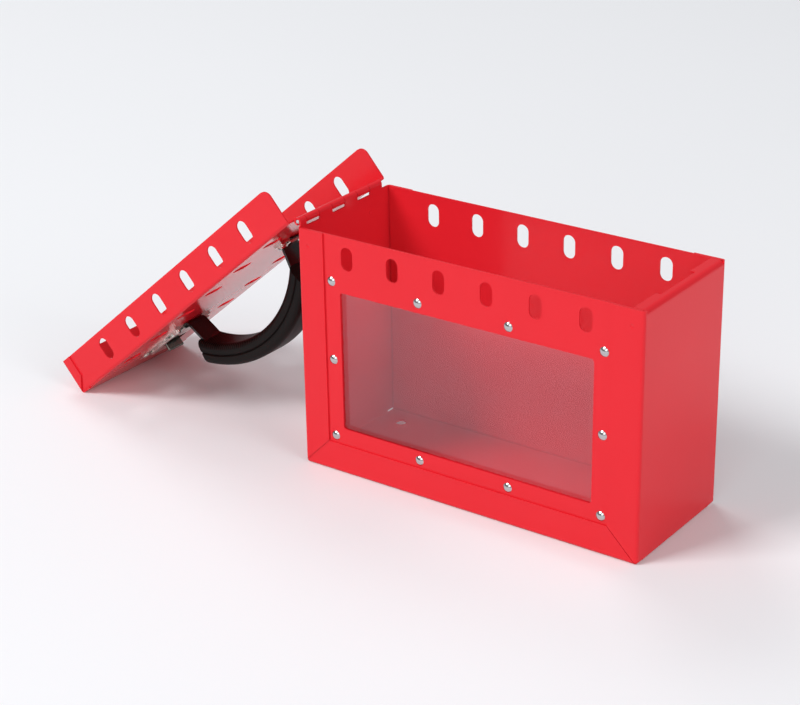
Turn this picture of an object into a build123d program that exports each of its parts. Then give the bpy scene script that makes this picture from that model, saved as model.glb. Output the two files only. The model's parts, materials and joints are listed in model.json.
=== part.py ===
from build123d import *
from math import asin, atan2, cos, degrees, hypot, pi, radians, sin, tan
import os

# Group lockout box: a sheet steel key box whose lid is held shut by the users' padlocks.
# X runs along the box, from the hinge end (-X) to the latch end (+X), Y from front to back, Z up.
# The origin is the middle of the underside. Lengths are in millimetres, angles in degrees.
# The lid is drawn shut and then swung open until its far edge lies on the bench, which is the rest pose.

# Body
body_length = 230.0
body_depth = 90.0
body_height = 151.2
sheet = 1.0
bend_radius = 2.0
cut_margin = 1.0
flange_width = 18.8
mitre_gap = 0.4
relief_length = 6.5
relief_size = 1.5

# Rim that the latch catches under, along the top of the latch end
rim_depth = 8.2
rim_strip = 5.2
rim_notch_width = 38.4
rim_bend = 3.0
rim_end_gap = 0.4

# Shackle slots, in the side plates and in the lid
slot_count = 6
panel_shift = -0.8
slot_end_inset = 35.25
slot_length = 14.5
slot_width = 8.2
slot_drop = 13.0
lid_top_slot_inset = 14.6

# Window, set in from the flanges at both sides and below, and from the top of the plate
window_side_band = 10.85
window_low_band = 10.3
window_drop = 34.7
window_corner = 2.0
pane_thickness = 2.0
pane_margin = 6.0
rivet_columns = 4
rivet_side_margin = 6.05
rivet_margin = 5.8
rivet_head_radius = 2.9
rivet_head_height = 1.3
rivet_shank_radius = 1.6
rivet_hole_play = 0.1
rivet_tail_radius = 2.3
rivet_tail_length = 1.4
washer_radius = 4.0
washer_thickness = 0.8

# Holes in the base for bolting the box down
base_hole_radius = 3.25
base_hole_end_inset = 17.5
base_hole_side_inset = 15.5

# Spot weld marks
weld_mark_radius = 1.3
weld_mark_depth = 0.4
flange_weld_inset = 7.5
flange_weld_drop = 9.6
wall_weld_offset = 24.6
wall_weld_drop = 11.6

# Hinge, rolled out of the end wall and the lid plate
pin_radius = 1.3
pin_play = 0.08
knuckle_pitch = 12.35
knuckle_count = 6
knuckle_gap = 0.4
knuckle_opening = 70.0
seam_gap = 0.3
wall_notch_gap = 1.0
hinge_edge_gap = 0.5

# Lid
lid_rise = 0.3
lid_side_clearance = 1.6
lid_end_clearance = 6.0
lid_skirt = 24.7
lid_bend = 2.0
lid_corner_radius = 5.5
lid_hinge_inset = 2.9
lid_end_cover = 8.6
lid_end_cut = 1.0
lid_end_cut_rise = 9.0

# Handle: a strap bent over a bow, with a grip moulded round it, held by two saddles
handle_middle = -8.6
grip_height = 48.8
grip_bow_radius = 89.5
grip_thickness = 14.4
grip_width = 24.0
grip_overhang = 5.2
grip_end_lean = 12.0
grip_edge = 4.0
grip_groove = 0.8
strap_width = 16.0
strap_thickness = 1.6
strap_lean = 6.9
strap_end_gap = 1.1
shoulder_bend = 12.0
strap_foot = 9.5
strap_bend = 3.0
strap_play = 0.2
saddle_length = 7.0
saddle_sheet = 1.5
saddle_play = 0.2
saddle_edge = 3.5
screw_radius = 2.0
screw_play = 0.2
screw_head_gap = 0.5
screw_head_radius = 3.3
screw_head_height = 2.3
screw_head_edge = 0.9
nut_across_flats = 7.0
nut_thickness = 3.2
screw_past_nut = 1.0

# Latch: a sprung slide under the lid, with a thumb tab outside and a hook that catches under the rim
latch_sheet = 1.5
slide_half_width = 7.0
slide_play = 0.4
slide_tail = 15.2
hook_setback = 9.0
hook_reach = 3.2
hook_drop = 0.4
hook_depth = 5.4
latch_travel = 6.0
travel_play = 0.8
thumb_setback = 41.8
thumb_thickness = 2.4
thumb_width = 14.0
thumb_height = 7.8
thumb_edge = 1.0
housing_lead = 11.7
housing_length = 37.0
housing_sheet = 1.0
housing_play = 0.6
housing_foot = 6.0
latch_rivet_setback = 5.5
latch_rivet_length = 24.0
latch_rivet_inset = 3.0
latch_rivet_radius = 1.5
latch_rivet_head_radius = 2.6
latch_rivet_head = 1.0
latch_rivet_head_edge = 0.7
cover_lead = 17.8
cover_length = 41.2
cover_edge = 3.0
cover_sheet = 0.8
cover_rise = 1.8
cover_dome_gap = 0.2
cover_dome_inset = 5.1
cover_dome_end_inset = 5.6
cover_dome_edge = 1.2
cover_corner = 3.0
spring_radius = 1.9
spring_wire = 0.6
spring_turns = 7
spring_sides = 8
spring_drop = 0.4
spring_tab_setback = 11.3
spring_tab_half_width = 2.6
spring_window = 4.8
spring_peg_radius = 1.0
spring_peg_length = 4.0

# Places worked out from the sizes above
half_length = body_length / 2
half_depth = body_depth / 2
plate_front = half_depth - sheet
plate_back = plate_front - sheet
pane_back = plate_back - pane_thickness
knuckle_inner = pin_radius + pin_play
knuckle_outer = knuckle_inner + sheet
hinge_x = sheet - half_length - knuckle_outer
lid_under = body_height + lid_rise
lid_top = lid_under + sheet
hinge_z = lid_under + knuckle_outer
notch_floor = hinge_z - knuckle_outer - wall_notch_gap
knuckle_half_span = knuckle_pitch * knuckle_count / 2
lid_end = half_length + lid_end_clearance + sheet
lid_half_width = half_depth + lid_side_clearance + sheet
lid_start = hinge_x + lid_hinge_inset
lid_plate_start = hinge_x + knuckle_outer + hinge_edge_gap
lid_free_edge = lid_top - lid_skirt
slot_pitch = (body_length - 2 * slot_end_inset) / (slot_count - 1)
slot_places = [panel_shift + (i - (slot_count - 1) / 2) * slot_pitch for i in range(slot_count)]
window_length = body_length - 2 * (flange_width + window_side_band)
window_low = flange_width + window_low_band
window_height = body_height - window_drop - window_low
window_middle = window_low + window_height / 2
rivet_span = window_length + 2 * rivet_side_margin
rivet_rise = window_height + 2 * rivet_margin
base_hole_x = half_length - base_hole_end_inset
base_hole_y = half_depth - base_hole_side_inset
thumb_place = half_length - thumb_setback
slide_start = thumb_place - slide_tail
spring_tab = thumb_place + spring_tab_setback
housing_start = thumb_place - housing_lead
cover_start = thumb_place - cover_lead
hook_leg = half_length - hook_setback
strap_heel = cover_start - strap_end_gap - strap_foot - handle_middle
strap_shoulder = strap_heel - strap_lean
grip_half_length = strap_heel + grip_overhang
saddle_crown = strap_width / 2 + saddle_play
saddle_screw_y = saddle_crown + saddle_sheet + screw_head_gap + screw_head_radius
slide_top = lid_under - slide_play
slide_under = slide_top - latch_sheet
rim_under = body_height - sheet
spring_axis = slide_under - spring_drop - spring_radius - spring_wire / 2
housing_floor = spring_axis - spring_radius - spring_wire / 2 - spring_drop
housing_half_width = slide_half_width + housing_play + housing_sheet
latch_rivet_middle = housing_start + latch_rivet_setback + latch_rivet_length / 2
latch_rivet_y = housing_half_width + latch_rivet_inset
cover_dome_half_width = latch_rivet_y - latch_rivet_head_radius - cover_dome_gap
spring_start = housing_start + housing_sheet

# The lid has opened so far that the rounded bend of its end flange touches the bench
corner_x = lid_end - lid_bend - hinge_x
corner_z = lid_top - lid_bend - hinge_z
dip = asin((hinge_z - lid_bend) / hypot(corner_x, corner_z))
open_angle = 180 + degrees(dip - atan2(corner_z, corner_x))
hinge_axis = Axis((hinge_x, 0, hinge_z), (0, 1, 0))


# A box between two corners
def block(low, high):
    size = [b - a for a, b in zip(low, high)]
    middle = [(a + b) / 2 for a, b in zip(low, high)]
    return Pos(*middle) * Box(*size)


# A profile drawn in X and Z, made solid between two depths
def along_y(profile, start, end):
    return Pos(0, (start + end) / 2, 0) * extrude(Plane.XZ * profile, (end - start) / 2, both=True)


# A profile drawn in X and Y, made solid between two heights
def along_z(profile, start, end):
    return Pos(0, 0, start) * extrude(profile, end - start)


# A cylinder along Y
def rod_y(x, z, radius, start, end):
    return along_y(Pos(x, z) * Circle(radius), start, end)


# A cylinder along Z
def rod_z(x, y, radius, start, end):
    return along_z(Pos(x, y) * Circle(radius), start, end)


# A box from z = 0 up, with its upright edges and its bottom edges rounded
def rounded_pan(length, depth, height, radius):
    solid = Pos(0, 0, height / 2) * Box(length, depth, height)
    return fillet(solid.edges().filter_by(Axis.Z) + solid.edges().group_by(Axis.Z)[0], radius)


# Takes a piece of the shut lid to where it is with the lid open
def opened(piece):
    return piece.rotate(hinge_axis, -open_angle)


# The round dent that a spot weld leaves
def weld_mark(x, y, z, normal):
    ball = (weld_mark_radius**2 + weld_mark_depth**2) / (2 * weld_mark_depth)
    centre = Vector(x, y, z) + Vector(*normal) * (ball - weld_mark_depth)
    return Pos(*centre) * Sphere(ball)


# Shackle slots through the side plates
def side_slots(height):
    slot = SlotOverall(slot_length, slot_width, rotation=90)
    profile = Sketch() + [Pos(x, height) * slot for x in slot_places]
    return along_y(profile, -body_depth, body_depth)


# One sheet folded into the base, both end walls and the flanges that frame the side plates
def make_body_wrap():
    inner_length = body_length - 2 * sheet
    inner_depth = body_depth - 2 * sheet
    solid = rounded_pan(body_length, body_depth, body_height, bend_radius)
    solid -= Pos(0, 0, sheet) * rounded_pan(inner_length, inner_depth, body_height, bend_radius - sheet)
    opening = half_length - flange_width
    low = (panel_shift - opening, -body_depth, flange_width)
    solid -= block(low, (panel_shift + opening, body_depth, 2 * body_height))
    slit = Pos(0, 0, mitre_gap - flange_width) * Box(mitre_gap, 2 * sheet, 2 * flange_width)
    relief = Box(2 * relief_size, relief_length, 2 * relief_size)
    hole = rod_z(0, 0, base_hole_radius, -sheet, 2 * sheet)
    for x in (-1, 1):
        for y in (-1, 1):
            corner = Pos(panel_shift + x * opening, y * half_depth, flange_width)
            solid -= corner * Rot(0, -x * 45, 0) * slit
            solid -= Pos(x * half_length, y * (plate_front - relief_length / 2), 0) * relief
            solid -= Pos(x * base_hole_x, y * base_hole_y, 0) * hole
    solid = solid - make_wall_notches() - make_weld_marks() - make_rim_room()
    return solid + make_rim() + make_body_knuckles()


# Cuts that let the lid's knuckles turn, each a gap wider than its knuckle
def make_wall_notches():
    gap = knuckle_gap / 2
    return [
        block((-body_length, start - gap, notch_floor), (0, end + gap, 2 * body_height))
        for start, end in knuckle_ends(0)
    ]


# Depths where the lid's knuckles (first 0) or the body's (first 1) start and end
def knuckle_ends(first):
    starts = [i * knuckle_pitch - knuckle_half_span for i in range(first, knuckle_count, 2)]
    return [(y + knuckle_gap / 2, y + knuckle_pitch - knuckle_gap / 2) for y in starts]


# The end wall's sheet, rolled outwards over the pin
def make_body_knuckles():
    ring = Circle(knuckle_outer) - Circle(knuckle_inner)
    reach = 2 * knuckle_outer
    mouth = Polygon((0, 0), (reach, 0), (reach, -reach), (0, -reach), align=None)
    kept = Polygon((0, 0), (-reach, 0), (-reach, -2 * reach), (0, -2 * reach), align=None)
    mouth -= Rot(0, 0, knuckle_opening - 90) * kept
    leaf_height = hinge_z - notch_floor + sheet
    leaf = Pos(knuckle_outer - sheet / 2, -leaf_height / 2) * Rectangle(sheet, leaf_height)
    profile = Pos(hinge_x, hinge_z) * (ring - mouth + leaf)
    first = (-plate_back, -knuckle_half_span - knuckle_gap / 2)
    return [along_y(profile, start, end) for start, end in [first] + knuckle_ends(1)]


# The top of the latch end: room for the rim's round bend, then the rim, wider at both ends
def make_rim_room():
    ends = plate_back - rim_end_gap
    return block((0, -ends, rim_under - 2 * rim_bend), (body_length, ends, 2 * body_height))


def make_rim():
    ends = plate_back - rim_end_gap
    low = rim_under - 2 * rim_bend
    corners = [
        (half_length, low), (half_length, body_height), (half_length - rim_depth, body_height),
        (half_length - rim_depth, rim_under), (half_length - sheet, rim_under), (half_length - sheet, low),
    ]
    profile = Polygon(*corners, align=None)
    profile = fillet(profile.vertices().sort_by(Axis.X)[-2:].sort_by(Axis.Y)[-1:], rim_bend)
    inner = profile.vertices().sort_by_distance((half_length - sheet, rim_under))[0]
    profile = fillet(inner, rim_bend - sheet)
    notch = half_length - rim_strip
    cut = block((0, -rim_notch_width / 2, low), (notch, rim_notch_width / 2, 2 * body_height))
    return along_y(profile, -ends, ends) - cut


def make_weld_marks():
    flange_x = half_length - flange_weld_inset
    flange_z = body_height - flange_weld_drop
    marks = [weld_mark(x * flange_x, y * half_depth, flange_z, (0, y, 0)) for x in (-1, 1) for y in (-1, 1)]
    wall_x = sheet - half_length
    wall_z = body_height - wall_weld_drop
    return marks + [weld_mark(wall_x, y * wall_weld_offset, wall_z, (1, 0, 0)) for y in (-1, 1)]


# Both side plates stand behind the flanges and clear of the rounded bends
def make_side_plate(side):
    end = half_length - bend_radius
    low, high = sorted((side * plate_back, side * plate_front))
    plate = block((-end, low, bend_radius), (end, high, body_height))
    return plate - side_slots(body_height - slot_drop)


def make_front_plate():
    window = RectangleRounded(window_length, window_height, window_corner)
    window = Pos(panel_shift, window_middle) * window
    return make_side_plate(-1) - along_y(window + make_rivet_holes(), -body_depth, 0)


# Four rivets above and below the window, and one in the middle of each side
def rivet_places():
    columns = [panel_shift + (i / (rivet_columns - 1) - 0.5) * rivet_span for i in range(rivet_columns)]
    rows = (window_middle - rivet_rise / 2, window_middle + rivet_rise / 2)
    return [(x, z) for z in rows for x in columns] + [(x, window_middle) for x in (columns[0], columns[-1])]


def make_rivet_holes():
    return Sketch() + [Pos(x, z) * Circle(rivet_shank_radius + rivet_hole_play) for x, z in rivet_places()]


def make_window_pane():
    size = (rivet_span + 2 * pane_margin, rivet_rise + 2 * pane_margin)
    pane = Pos(panel_shift, window_middle) * RectangleRounded(*size, window_corner)
    return along_y(pane - make_rivet_holes(), -plate_back, -pane_back)


# A blind rivet lying along Y: a low dome outside, a shank through plate and pane, a set tail inside
def make_window_rivets():
    ball = (rivet_head_radius**2 + rivet_head_height**2) / (2 * rivet_head_height)
    dome = Pos(0, -plate_front + ball - rivet_head_height, 0) * Sphere(ball)
    dome &= block((-ball, -plate_front - rivet_head_height, -ball), (ball, -plate_front, ball))
    tail_start = washer_thickness - pane_back
    shank = rod_y(0, 0, rivet_shank_radius, -plate_front, tail_start)
    tail = rod_y(0, 0, rivet_tail_radius, tail_start, tail_start + rivet_tail_length)
    rivet = dome + shank + tail
    return Compound(children=[Pos(x, 0, z) * rivet for x, z in rivet_places()])


def make_window_washers():
    ring = rod_y(0, 0, washer_radius, -pane_back, washer_thickness - pane_back)
    ring -= rod_y(0, 0, rivet_shank_radius + rivet_hole_play, -plate_back, 0)
    return Compound(children=[Pos(x, 0, z) * ring for x, z in rivet_places()])


def make_hinge_pin():
    pin = rod_y(hinge_x, hinge_z, pin_radius, -plate_back, knuckle_half_span)
    return chamfer(pin.edges().filter_by(GeomType.CIRCLE), pin_radius / 4)


# Lid plate and side flanges from one bent channel, with the end flange folded round their ends
def make_lid_shell():
    channel = Pos(0, (lid_free_edge + lid_top) / 2) * Rectangle(2 * lid_half_width, lid_skirt)
    channel = fillet(channel.vertices().group_by(Axis.Y)[-1], lid_bend)
    hollow_size = (2 * (lid_half_width - sheet), lid_under - lid_free_edge + 2 * sheet)
    hollow = Pos(0, (lid_free_edge + lid_under) / 2 - sheet) * Rectangle(*hollow_size)
    hollow = fillet(hollow.vertices().group_by(Axis.Y)[-1], lid_bend - sheet)
    inner_end = lid_end - sheet
    solid = Pos(lid_start, 0, 0) * extrude(Plane.YZ * (channel - hollow), inner_end - lid_start)
    corner = Rectangle(2 * lid_corner_radius, 2 * lid_corner_radius)
    corner -= Pos(lid_corner_radius, lid_corner_radius) * Circle(lid_corner_radius)
    solid -= along_y(Pos(lid_start, lid_free_edge) * corner, -body_depth, body_depth)
    solid += make_lid_end()
    room_low = (lid_start - cut_margin, -plate_front, lid_free_edge)
    solid -= block(room_low, (lid_plate_start, plate_front, lid_top + cut_margin))
    for start, end in knuckle_ends(0):
        solid += along_y(make_lid_knuckle_profile(), start, end)
    return solid - side_slots(lid_top - slot_drop) - make_lid_holes()


# The end flange: a pan wall whose sides lap over the side flanges, cut back at the top corners
def make_lid_end():
    wrap_half_width = lid_half_width + sheet
    low = lid_free_edge
    outer = block((0, -wrap_half_width, low), (lid_end, wrap_half_width, lid_top))
    upright = outer.edges().filter_by(Axis.Z).group_by(Axis.X)[-1]
    top_bend = outer.edges().filter_by(Axis.Y).group_by(Axis.X)[-1].group_by(Axis.Z)[-1]
    outer = fillet(upright + top_bend, lid_bend)
    below = low - cut_margin
    inner = block((-cut_margin, -lid_half_width, below), (lid_end - sheet, lid_half_width, lid_under))
    inner = fillet(inner.edges().filter_by(Axis.Z).group_by(Axis.X)[-1], lid_bend - sheet)
    near = lid_end - lid_end_cover
    high = lid_top + cut_margin
    shell = outer - inner - block((-cut_margin, -lid_end, below), (near, lid_end, high))
    slope_top = lid_top - lid_end_cut
    slope_low = slope_top - lid_end_cut_rise
    slope = [(lid_end, high), (near, high), (near, slope_low), (lid_end, slope_top)]
    cut = Polygon(*slope, align=None)
    for side in (-1, 1):
        low_y, high_y = sorted((side * lid_half_width, side * 2 * lid_half_width))
        shell -= along_y(cut, low_y, high_y)
    return shell


# The plate's edge, rolled up over the pin until its end comes back down to a seam above the plate
def make_lid_knuckle_profile():
    ring = Circle(knuckle_outer) - Circle(knuckle_inner)
    seam = Pos(knuckle_outer, seam_gap / 2 - knuckle_inner) * Rectangle(2 * knuckle_outer, seam_gap)
    neck_end = lid_plate_start - hinge_x + sheet
    neck = Pos(neck_end / 2, sheet / 2 - knuckle_outer) * Rectangle(neck_end, sheet)
    return Pos(hinge_x, hinge_z) * (ring - seam + neck)


def make_lid_holes():
    top_y = lid_half_width - lid_top_slot_inset
    slot = SlotOverall(slot_length, slot_width, rotation=90)
    slots = [Pos(x, y) * slot for x in slot_places for y in (-top_y, top_y)]
    hole = Circle(screw_radius + screw_play)
    holes = [Pos(x, y) * hole for side in (-1, 1) for x, y in saddle_screw_places(side)]
    rivet_hole = Circle(latch_rivet_radius + rivet_hole_play)
    rivets = [Pos(x, y) * rivet_hole for x, y in latch_rivet_places()]
    profile = Sketch() + slots + holes + rivets + make_thumb_slot()
    return along_z(profile, lid_under - cut_margin, lid_top + cut_margin)


# The slot that the thumb tab moves in, through the lid plate and the cover
def make_thumb_slot():
    start = thumb_place - latch_travel - travel_play
    end = thumb_place + thumb_thickness + travel_play
    return Pos((start + end) / 2, 0) * Rectangle(end - start, thumb_width + 2 * travel_play)


# Side view of the strap: two feet on the lid, two legs that lean inwards, and the bow between them
def make_strap_profile(play):
    low = lid_top + strap_thickness / 2
    middle = grip_bow_radius - grip_thickness / 2
    centre = lid_top + grip_height - grip_bow_radius
    shoulder_z = centre + (middle**2 - strap_shoulder**2) ** 0.5
    ends = [(x * (strap_heel + strap_foot), low) for x in (-1, 1)]
    heels = [(x * strap_heel, low) for x in (-1, 1)]
    shoulders = [(x * strap_shoulder, shoulder_z) for x in (-1, 1)]
    legs = [Line(a, b) for side in zip(ends, heels, shoulders) for a, b in zip(side, side[1:])]
    path = Wire(legs + [ThreePointArc(shoulders[0], (0, centre + middle), shoulders[1])])
    path = path.fillet_2d(shoulder_bend, path.vertices().sort_by(Axis.Y)[-2:])
    corners = path.vertices().sort_by(lambda v: abs(abs(v.X) - strap_heel) + abs(v.Y - low))[:2]
    path = path.fillet_2d(strap_bend, corners)
    strip = offset(path, strap_thickness / 2 + play, kind=Kind.INTERSECTION)
    return Pos(handle_middle, 0) * make_face(strip)


def make_handle_strap():
    return opened(along_y(make_strap_profile(0), -strap_width / 2, strap_width / 2))


def make_handle_grip():
    centre = lid_top + grip_height - grip_bow_radius
    middle = grip_bow_radius - grip_thickness / 2
    section = Pos(0, middle) * RectangleRounded(grip_width, grip_thickness, grip_edge)
    notch = Rot(0, 0, 45) * Rectangle(2**0.5 * grip_groove, 2**0.5 * grip_groove)
    for side in (-1, 1):
        section -= Pos(side * grip_width / 2, middle) * notch
    swing = degrees(asin(grip_half_length / (grip_bow_radius - grip_thickness)))
    start = Plane.YZ * section
    grip = revolve(start.rotate(Axis.Y, -swing), Axis.Y, 2 * swing)
    grip = Pos(handle_middle, 0, centre) * grip
    high = lid_top + grip_height
    lean = grip_height * tan(radians(grip_end_lean))
    low = grip_half_length - lean
    ends = [(-grip_half_length, high), (grip_half_length, high), (low, lid_top), (-low, lid_top)]
    room = Pos(handle_middle, 0) * Polygon(*ends, align=None)
    grip &= along_y(room, -grip_width, grip_width)
    hole = strap_width / 2 + strap_play
    return opened(grip - along_y(make_strap_profile(strap_play), -hole, hole))


# Screws sit one each side of the strap, in the ears of the saddle over each foot
def saddle_screw_places(side):
    x = handle_middle + side * saddle_middle()
    return [(x, -saddle_screw_y), (x, saddle_screw_y)]


def saddle_middle():
    return strap_heel + strap_foot - saddle_length / 2 + saddle_play


def make_handle_saddle(side):
    height = strap_thickness + saddle_play / 2
    outer_size = (2 * (saddle_crown + saddle_sheet), height + saddle_sheet)
    outer = Rectangle(*outer_size, align=(Align.CENTER, Align.MIN))
    outer = fillet(outer.vertices().group_by(Axis.Y)[-1], saddle_sheet)
    ears = Rectangle(2 * (saddle_screw_y + saddle_edge), saddle_sheet, align=(Align.CENTER, Align.MIN))
    profile = outer + ears - Rectangle(2 * saddle_crown, height, align=(Align.CENTER, Align.MIN))
    saddle = Pos(0, 0, lid_top) * extrude(Plane.YZ * profile, saddle_length / 2, both=True)
    saddle = Pos(handle_middle + side * saddle_middle(), 0, 0) * saddle
    hole = rod_z(0, 0, screw_radius + screw_play, lid_under, lid_top + 2 * saddle_sheet)
    return opened(saddle - [Pos(x, y, 0) * hole for x, y in saddle_screw_places(side)])


def make_saddle_screws(side):
    seat = lid_top + saddle_sheet
    head = rod_z(0, 0, screw_head_radius, seat, seat + screw_head_height)
    head = chamfer(head.edges().sort_by(Axis.Z)[-1], screw_head_edge)
    screw = head + rod_z(0, 0, screw_radius, lid_under - nut_thickness - screw_past_nut, seat)
    return opened(Compound(children=[Pos(x, y, 0) * screw for x, y in saddle_screw_places(side)]))


def make_saddle_nuts(side):
    nut = RegularPolygon(nut_across_flats / 2, 6, major_radius=False) - Circle(screw_radius)
    nut = along_z(nut, lid_under - nut_thickness, lid_under)
    return opened(Compound(children=[Pos(x, y, 0) * nut for x, y in saddle_screw_places(side)]))


# Pressed cover outside the lid: a flat border round a raised middle with the thumb slot
def make_latch_cover():
    middle = cover_start + cover_length / 2
    border_size = (cover_length, 2 * (latch_rivet_y + cover_edge))
    border = Pos(middle, 0) * RectangleRounded(*border_size, cover_corner)
    cover = along_z(border, lid_top, lid_top + cover_sheet)
    dome_middle = middle + (cover_dome_inset - cover_dome_end_inset) / 2
    dome_size = (cover_length - cover_dome_inset - cover_dome_end_inset, 2 * cover_dome_half_width)
    dome = Pos(dome_middle, 0) * RectangleRounded(*dome_size, cover_corner)
    dome = along_z(dome, lid_top, lid_top + cover_sheet + cover_rise)
    dome = fillet(dome.edges().group_by(Axis.Z)[-1], cover_dome_edge)
    hollow_size = [size - 2 * cover_sheet for size in dome_size]
    hollow = RectangleRounded(*hollow_size, cover_corner - cover_sheet)
    cover = cover + dome - along_z(Pos(dome_middle, 0) * hollow, lid_top, lid_top + cover_rise)
    cover -= along_z(make_thumb_slot(), lid_under, lid_top + thumb_height)
    hole = rod_z(0, 0, latch_rivet_radius + rivet_hole_play, lid_under, lid_top + thumb_height)
    return opened(cover - [Pos(x, y, 0) * hole for x, y in latch_rivet_places()])


def latch_rivet_places():
    reach = latch_rivet_length / 2
    return [(latch_rivet_middle + x * reach, y * latch_rivet_y) for x in (-1, 1) for y in (-1, 1)]


# Rivets that hold the cover outside and the housing inside
def make_latch_rivets():
    top = lid_top + cover_sheet
    low = lid_under - housing_sheet
    head = rod_z(0, 0, latch_rivet_head_radius, top, top + latch_rivet_head)
    head = chamfer(head.edges().sort_by(Axis.Z)[-1], latch_rivet_head_edge)
    tail = rod_z(0, 0, latch_rivet_head_radius, low - latch_rivet_head, low)
    rivet = head + tail + rod_z(0, 0, latch_rivet_radius, low, top)
    return opened(Compound(children=[Pos(x, y, 0) * rivet for x, y in latch_rivet_places()]))


# Channel under the lid that carries the slide in slots in its two ends
def make_latch_housing():
    end = housing_start + housing_length
    inner = housing_half_width - housing_sheet
    low = housing_floor - housing_sheet
    feet_y = housing_half_width + housing_foot
    shell = block((housing_start, -housing_half_width, low), (end, housing_half_width, lid_under))
    shell += block((housing_start, -feet_y, lid_under - housing_sheet), (end, feet_y, lid_under))
    shell -= block((spring_start, -inner, housing_floor), (end - housing_sheet, inner, lid_top))
    shell -= block((0, -inner, slide_under - slide_play / 2), (body_length, inner, lid_top))
    hole = rod_z(0, 0, latch_rivet_radius + rivet_hole_play, housing_floor, lid_top)
    return opened(shell - [Pos(x, y, 0) * hole for x, y in latch_rivet_places()])


# The slide: flat bar, hook bent under the rim, thumb tab standing up, small tab down for the spring
def make_latch_slide():
    half = latch_sheet / 2
    hook_end = half_length - hook_reach
    leg = hook_leg + half
    hook_low = rim_under - hook_drop - hook_depth
    corners = [
        (slide_start, slide_under + half), (leg, slide_under + half), (leg, hook_low),
        (hook_end, rim_under - hook_drop - half),
    ]
    path = FilletPolyline(*corners, radius=latch_sheet)
    strip = make_face(offset(path, half, kind=Kind.INTERSECTION))
    bar = along_y(strip, -slide_half_width, slide_half_width)
    thumb_half = thumb_width / 2
    thumb_far = (thumb_place + thumb_thickness, thumb_half, lid_top + thumb_height)
    thumb = block((thumb_place, -thumb_half, slide_under), thumb_far)
    thumb = fillet(thumb.edges().filter_by(Axis.Y).group_by(Axis.Z)[-1], thumb_edge)
    thumb = fillet(thumb.edges().filter_by(Axis.X).group_by(Axis.Z)[-1], thumb_edge)
    tab_low = spring_axis - spring_radius
    tab_half = spring_tab_half_width
    tab = block((spring_tab, -tab_half, tab_low), (spring_tab + latch_sheet, tab_half, slide_top))
    window = block((spring_tab - spring_window, -tab_half, tab_low), (spring_tab, tab_half, lid_top))
    peg = Pos(spring_tab - spring_peg_length / 2, 0, spring_axis) * Rot(0, 90, 0)
    peg *= Cylinder(spring_peg_radius, spring_peg_length)
    return opened(bar + thumb - window + tab + peg)


# The coil is drawn with a few straight lengths of square wire to a turn
def make_latch_spring():
    length = spring_tab - spring_start - spring_wire
    turn = 2 * pi / spring_sides
    count = spring_turns * spring_sides
    points = [
        (spring_radius * cos(i * turn), spring_radius * sin(i * turn), length * i / count)
        for i in range(count + 1)
    ]
    path = Polyline(*points)
    section = Plane(path @ 0, z_dir=path % 0) * RegularPolygon(spring_wire / 2, 4)
    wire = sweep(section, path, transition=Transition.RIGHT)
    return opened(Pos(spring_start + spring_wire / 2, 0, spring_axis) * Rot(0, 90, 0) * wire)


parts = {
    "body_wrap": make_body_wrap(),
    "front_plate": make_front_plate(),
    "back_plate": make_side_plate(1),
    "window_pane": make_window_pane(),
    "window_rivets": make_window_rivets(),
    "window_washers": make_window_washers(),
    "hinge_pin": make_hinge_pin(),
    "lid_shell": opened(make_lid_shell()),
    "handle_grip": make_handle_grip(),
    "handle_strap": make_handle_strap(),
    "saddle_hinge_side": make_handle_saddle(-1),
    "saddle_latch_side": make_handle_saddle(1),
    "saddle_screws_hinge_side": make_saddle_screws(-1),
    "saddle_screws_latch_side": make_saddle_screws(1),
    "saddle_nuts_hinge_side": make_saddle_nuts(-1),
    "saddle_nuts_latch_side": make_saddle_nuts(1),
    "latch_cover": make_latch_cover(),
    "latch_rivets": make_latch_rivets(),
    "latch_housing": make_latch_housing(),
    "latch_slide": make_latch_slide(),
    "latch_spring": make_latch_spring(),
}

os.makedirs("parts", exist_ok=True)
for name, shape in parts.items():
    export_step(shape, f"parts/{name}.step")
print(f"open angle {open_angle:.3f}, hinge axis x {hinge_x:.3f} z {hinge_z:.3f}")
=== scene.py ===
import json
import math
import bpy
from mathutils import Matrix, Vector


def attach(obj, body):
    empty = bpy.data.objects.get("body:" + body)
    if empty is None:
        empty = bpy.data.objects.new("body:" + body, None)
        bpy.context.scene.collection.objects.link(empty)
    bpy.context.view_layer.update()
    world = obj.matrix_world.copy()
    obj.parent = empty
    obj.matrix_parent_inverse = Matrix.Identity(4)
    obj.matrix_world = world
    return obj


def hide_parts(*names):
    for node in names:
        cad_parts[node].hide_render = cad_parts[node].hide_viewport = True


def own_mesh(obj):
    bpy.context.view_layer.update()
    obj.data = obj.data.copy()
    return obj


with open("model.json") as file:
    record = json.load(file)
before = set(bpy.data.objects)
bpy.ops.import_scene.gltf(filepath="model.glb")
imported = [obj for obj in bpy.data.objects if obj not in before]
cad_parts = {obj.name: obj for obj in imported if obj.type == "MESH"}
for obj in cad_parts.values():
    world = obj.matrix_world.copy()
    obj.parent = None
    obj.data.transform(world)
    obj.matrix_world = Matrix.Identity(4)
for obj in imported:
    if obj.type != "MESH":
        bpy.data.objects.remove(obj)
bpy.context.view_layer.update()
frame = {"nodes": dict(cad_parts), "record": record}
nodes = frame["nodes"]
print("frame loaded:", len(nodes), "pieces")

scene = bpy.context.scene
scene.view_settings.view_transform = "Standard"

# Camera, from the perspective of the box's straight edges
view = {
    "place": (0.6087, -0.9393, 0.5792),
    "azimuth": 36.086,
    "elevation": 23.861,
    "roll": -1.063,
    "lens": 95.2,
    "clipStart": 0.05,
    "clipEnd": 50,
}


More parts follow.
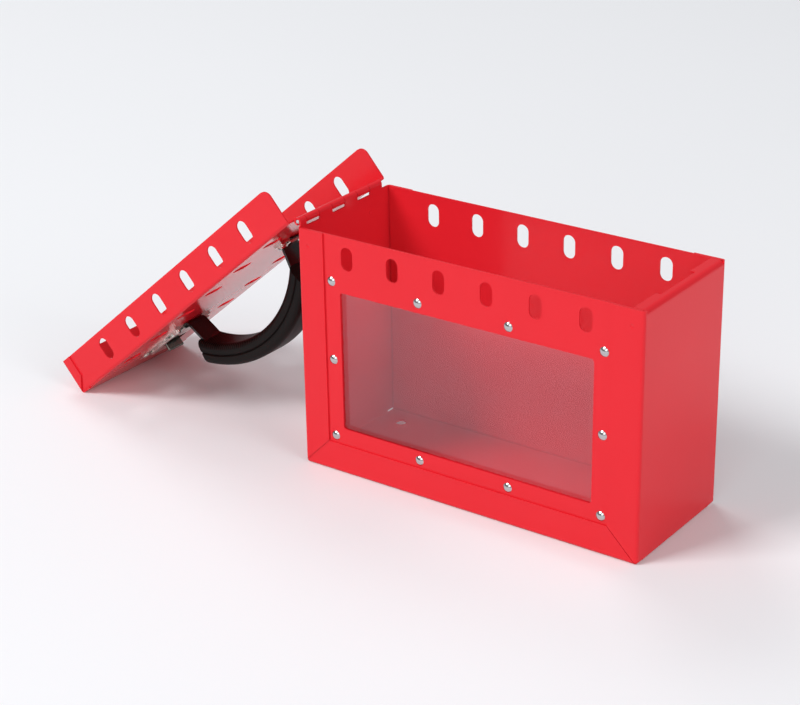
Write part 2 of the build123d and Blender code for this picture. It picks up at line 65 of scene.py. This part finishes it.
def makeCamera():
    data = bpy.data.cameras.new("camera")
    data.lens = view["lens"]
    data.clip_start = view["clipStart"]
    data.clip_end = view["clipEnd"]
    turn = Matrix.Rotation(math.radians(view["azimuth"]), 4, "Z")
    turn @= Matrix.Rotation(math.radians(90 - view["elevation"]), 4, "X")
    turn @= Matrix.Rotation(math.radians(view["roll"]), 4, "Z")
    camera = bpy.data.objects.new("camera", data)
    camera.matrix_world = Matrix.Translation(view["place"]) @ turn
    scene.collection.objects.link(camera)
    scene.camera = camera


makeCamera()
print("camera ready")


# Shader maths: a wrapped socket takes part in plain expressions
class Wire:
    def __init__(self, tree, socket):
        self.tree = tree
        self.socket = socket

    def maths(self, operation, other=None):
        inputs = {0: self} if other is None else {0: self, 1: other}
        return addNode(self.tree, "ShaderNodeMath", {"operation": operation}, inputs)

    def clamped(self):
        settings = {"operation": "ADD", "use_clamp": True}
        return addNode(self.tree, "ShaderNodeMath", settings, {0: self, 1: 0})

    def __add__(self, other):
        return self.maths("ADD", other)

    def __radd__(self, other):
        return self.maths("ADD", other)

    def __sub__(self, other):
        return self.maths("SUBTRACT", other)

    def __rsub__(self, other):
        inputs = {0: other, 1: self}
        return addNode(self.tree, "ShaderNodeMath", {"operation": "SUBTRACT"}, inputs)

    def __mul__(self, other):
        return self.maths("MULTIPLY", other)

    def __rmul__(self, other):
        return self.maths("MULTIPLY", other)

    def __truediv__(self, other):
        return self.maths("DIVIDE", other)


def setSockets(tree, node, values):
    for name, value in values.items():
        if isinstance(value, Wire):
            tree.links.new(value.socket, node.inputs[name])
        else:
            node.inputs[name].default_value = value


# Any other node: its type, its settings, then the values or links of its sockets
def addNode(tree, kind, settings=None, inputs=None, output=0):
    node = tree.nodes.new(kind)
    for name, value in (settings or {}).items():
        setattr(node, name, value)
    setSockets(tree, node, inputs or {})
    return Wire(tree, node.outputs[output])


def newMaterial(name):
    material = bpy.data.materials.new(name)
    material.use_nodes = True
    tree = material.node_tree
    coords = addNode(tree, "ShaderNodeTexCoord", output="Object")
    return material, tree, tree.nodes["Principled BSDF"], coords


def noise(tree, coords, scale, detail, roughness=0.5):
    inputs = {"Vector": coords, "Scale": scale, "Detail": detail, "Roughness": roughness}
    return addNode(tree, "ShaderNodeTexNoise", None, inputs)


def bump(tree, height, strength, distance, normal=None):
    inputs = {"Height": height, "Strength": strength, "Distance": distance}
    if normal:
        inputs["Normal"] = normal
    return addNode(tree, "ShaderNodeBump", None, inputs)


# The Mix node's colour sockets have no names of their own: 6 and 7 go in, 2 comes out
def mixColours(tree, factor, first, second):
    inputs = {"Factor": factor, 6: first, 7: second}
    return addNode(tree, "ShaderNodeMix", {"data_type": "RGBA"}, inputs, 2)


def shade(colour, share):
    return [share * channel for channel in colour[:3]] + [1]


# Gloss powder coat: fine orange peel, faint clouds of colour, and a roughness that drifts a little
redPaint = {
    "colour": (0.77, 0.0195, 0.031, 1),
    "deepColour": (0.71, 0.0165, 0.026, 1),
    "cloudScale": 14,
    "cloudDetail": 2,
    "peelScale": 620,
    "peelDetail": 2,
    "peelBreak": 0.6,
    "peelRelief": 0.02,
    "peelDepth": 0.00005,
    "roughness": 0.16,
    "roughnessDrift": 0.06,
    "specular": 0.2,
}


def makeRedPaint():
    material, tree, shader, coords = newMaterial("redPowderCoat")
    cloud = noise(tree, coords, redPaint["cloudScale"], redPaint["cloudDetail"])
    peel = noise(tree, coords, redPaint["peelScale"], redPaint["peelDetail"], redPaint["peelBreak"])
    drift = redPaint["roughnessDrift"]
    setSockets(tree, shader, {
        "Base Color": mixColours(tree, cloud, redPaint["colour"], redPaint["deepColour"]),
        "Roughness": cloud * drift + (redPaint["roughness"] - drift / 2),
        "Specular IOR Level": redPaint["specular"],
        "Normal": bump(tree, peel, redPaint["peelRelief"], redPaint["peelDepth"]),
    })
    return material


# Clear acrylic: mostly seen through, under the even grey veil of what it mirrors
clearPane = {
    "colour": (0.68, 0.7, 0.78, 1),
    "veil": 0.075,
    "veilDrift": 0.015,
    "dustScale": 55,
    "dustDetail": 4,
    "dustBreak": 0.6,
    "roughness": 0.08,
    "roughnessDrift": 0.04,
}


def makePane():
    material, tree, shader, coords = newMaterial("clearAcrylic")
    dust = noise(tree, coords, clearPane["dustScale"], clearPane["dustDetail"], clearPane["dustBreak"])
    drift = clearPane["roughnessDrift"]
    veilDrift = clearPane["veilDrift"]
    setSockets(tree, shader, {
        "Base Color": clearPane["colour"],
        "Metallic": 1.0,
        "Roughness": dust * drift + (clearPane["roughness"] - drift / 2),
        "Alpha": dust * veilDrift + (clearPane["veil"] - veilDrift / 2),
    })
    return material


# Plated and bright metals differ in colour and roughness only. The slide with the thumb tab has its
# colour darkened as a painted dark reflection of what surrounds it
metals = {
    "bright_steel": {"name": "brightSteel", "colour": (0.56, 0.56, 0.57, 1), "roughness": 0.15},
    "nickel": {"name": "nickelPlate", "colour": (0.7, 0.67, 0.63, 1), "roughness": 0.16},
    "zinc_plate": {"name": "zincPlate", "colour": (0.5, 0.51, 0.5, 1), "roughness": 0.26},
    # painted dark reflection: the plated slide's colour is darkened to stand in for the dark
    # surroundings it mirrors
    "latch_slide": {"name": "zincPaintedDarkReflection", "colour": (0.19, 0.19, 0.17, 1), "roughness": 0.22},
    "spring_steel": {"name": "springSteel", "colour": (0.42, 0.42, 0.43, 1), "roughness": 0.34},
}
metalSurface = {
    "grainScale": 900,
    "grainDetail": 3,
    "grainRelief": 0.05,
    "grainDepth": 0.00003,
    "dullScale": 90,
    "dullDetail": 2,
    "dullShare": 0.86,
    "drift": 0.08,
}


def makeMetal(metal):
    material, tree, shader, coords = newMaterial(metal["name"])
    grain = noise(tree, coords, metalSurface["grainScale"], metalSurface["grainDetail"])
    dull = noise(tree, coords, metalSurface["dullScale"], metalSurface["dullDetail"])
    dullColour = shade(metal["colour"], metalSurface["dullShare"])
    drift = metalSurface["drift"]
    setSockets(tree, shader, {
        "Base Color": mixColours(tree, dull, metal["colour"], dullColour),
        "Metallic": 1.0,
        "Roughness": grain * drift + dull * drift + (metal["roughness"] - drift),
        "Normal": bump(tree, grain, metalSurface["grainRelief"], metalSurface["grainDepth"]),
    })
    return material


# Black mouldings: fine leather grain and ribs under the grip, a smooth gloss on the strap
blacks = {
    "black_moulding": {
        "name": "blackMoulding",
        "colour": (0.0065, 0.0045, 0.004, 1),
        "roughness": 0.44,
        "specular": 0.13,
        "grain": 1500,
        "relief": 0.3,
    },
    "black_strap": {
        "name": "blackStrap",
        "colour": (0.008, 0.004, 0.004, 1),
        "roughness": 0.14,
        "specular": 0.6,
        "grain": 700,
        "relief": 0.05,
    },
}
blackSurface = {
    "grainDetail": 3,
    "grainBreak": 0.7,
    "grainDepth": 0.00005,
    "grainDrift": 0.1,
    "scuffScale": 60,
    "scuffDetail": 3,
    "scuffShare": 1.4,
    "scuffDrift": 0.08,
}
gripRibs = {
    "centre": (-0.22547, 0.11532),  # middle of the bow, along the box and up
    "radius": 0.0751,
    "pitch": 0.0017,
    "depth": 0.00012,
    "relief": 0.8,
    "band": 0.0035,  # how far past the radius the ribs reach
    "fade": 0.001,
}


# Ribs stand across the grip's inner face, at even angles round the middle of its bow
def makeRibs(tree, coords):
    along = addNode(tree, "ShaderNodeSeparateXYZ", None, {0: coords}, 0) - gripRibs["centre"][0]
    up = addNode(tree, "ShaderNodeSeparateXYZ", None, {0: coords}, 2) - gripRibs["centre"][1]
    angle = up.maths("ARCTAN2", along)
    reach = (along * along + up * up).maths("SQRT")
    inner = ((gripRibs["radius"] + gripRibs["band"] - reach) / gripRibs["fade"]).clamped()
    wave = (angle * (2 * math.pi * gripRibs["radius"] / gripRibs["pitch"])).maths("SINE")
    return wave * inner


def makeBlack(black):
    material, tree, shader, coords = newMaterial(black["name"])
    grain = noise(tree, coords, black["grain"], blackSurface["grainDetail"], blackSurface["grainBreak"])
    scuff = noise(tree, coords, blackSurface["scuffScale"], blackSurface["scuffDetail"])
    normal = bump(tree, grain, black["relief"], blackSurface["grainDepth"])
    if black["name"] == "blackMoulding":
        normal = bump(tree, makeRibs(tree, coords), gripRibs["relief"], gripRibs["depth"], normal)
    scuffColour = shade(black["colour"], blackSurface["scuffShare"])
    grainDrift = blackSurface["grainDrift"]
    scuffDrift = blackSurface["scuffDrift"]
    base = black["roughness"] - (grainDrift + scuffDrift) / 2
    setSockets(tree, shader, {
        "Base Color": mixColours(tree, scuff, black["colour"], scuffColour),
        "Roughness": grain * grainDrift + scuff * scuffDrift + base,
        "Specular IOR Level": black["specular"],
        "Normal": normal,
    })
    return material


finishes = {"red_paint": makeRedPaint(), "clear_pane": makePane()}
for slot, metal in metals.items():
    finishes[slot] = makeMetal(metal)
for slot, black in blacks.items():
    finishes[slot] = makeBlack(black)

# A node's own finish comes first, then that of its slot in the record
for part in frame["record"]["subparts"]:
    piece = nodes[part["node"]]
    finish = finishes.get(part["node"]) or finishes[part["material_slot"]]
    piece.data.materials.clear()
    piece.data.materials.append(finish)
print("finishes:", len(finishes))

# The latch spring, merged into one coil and hung on the lid
coil = {
    "fixedEnd": (-0.2563, 0, 0.04222),
    "along": (-0.757052, 0, -0.653355),
    "length": 0.022,
    "travel": 0.006,
    "mergeUnder": 0.000001,
}


def makeCoil():
    bpy.ops.object.select_all(action="DESELECT")
    piece = bpy.data.objects.new("coilSpring", nodes["latch_spring"].data.copy())
    scene.collection.objects.link(piece)
    piece.select_set(True)
    bpy.context.view_layer.objects.active = piece
    bpy.ops.object.mode_set(mode="EDIT")
    bpy.ops.mesh.select_all(action="SELECT")
    bpy.ops.mesh.remove_doubles(threshold=coil["mergeUnder"])
    bpy.ops.object.mode_set(mode="OBJECT")
    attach(piece, "lid")
    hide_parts("latch_spring")
    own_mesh(piece)


makeCoil()
print("coil spring ready")

# Floor, sky and lamps
studio = {
    "floorSize": 12.0,
    "floorColour": (0.85, 0.86, 0.885, 1),
    "floorGrain": 3,
    "floorDetail": 2,
    "floorRoughness": 0.5,
    "floorDrift": 0.1,
    "floorSpecular": 0.2,
    "skyColour": (0.97, 0.98, 1.0, 1),
    "skyStrength": 0.29,
    "aim": (0, 0, 0.08),  # where every lamp points
}
lamps = {
    "keyLamp": {"place": (-2.6, -3.8, 4.6), "size": (2.4, 2.4), "power": 264},
    "frontLamp": {"place": (1.8, -4.4, 2.4), "size": (3.2, 3.2), "power": 60},
    "rightLamp": {"place": (5.0, -0.7, 2.6), "size": (2.8, 2.8), "power": 100},
    "backLamp": {"place": (-4.0, 2.6, 4.8), "size": (2.8, 2.8), "power": 100},
}


def makeFloor():
    bpy.ops.object.select_all(action="DESELECT")
    bpy.ops.mesh.primitive_plane_add(size=studio["floorSize"])
    floor = bpy.context.object
    floor.name = "floor"
    material, tree, shader, coords = newMaterial("paleFloor")
    grain = noise(tree, coords, studio["floorGrain"], studio["floorDetail"])
    setSockets(tree, shader, {
        "Base Color": studio["floorColour"],
        "Roughness": grain * studio["floorDrift"] + studio["floorRoughness"],
        "Specular IOR Level": studio["floorSpecular"],
    })
    floor.data.materials.append(material)


def makeLamp(name, lamp):
    data = bpy.data.lights.new(name, "AREA")
    data.shape = "RECTANGLE"
    data.size, data.size_y = lamp["size"]
    data.energy = lamp["power"]
    light = bpy.data.objects.new(name, data)
    light.location = lamp["place"]
    aim = Vector(studio["aim"]) - Vector(lamp["place"])
    light.rotation_euler = aim.to_track_quat("-Z", "Y").to_euler()
    scene.collection.objects.link(light)


def makeSky():
    world = bpy.data.worlds.new("studio")
    world.use_nodes = True
    back = world.node_tree.nodes["Background"]
    setSockets(world.node_tree, back, {"Color": studio["skyColour"], "Strength": studio["skyStrength"]})
    scene.world = world


makeFloor()
makeSky()
for name, lamp in lamps.items():
    makeLamp(name, lamp)
print("studio ready")
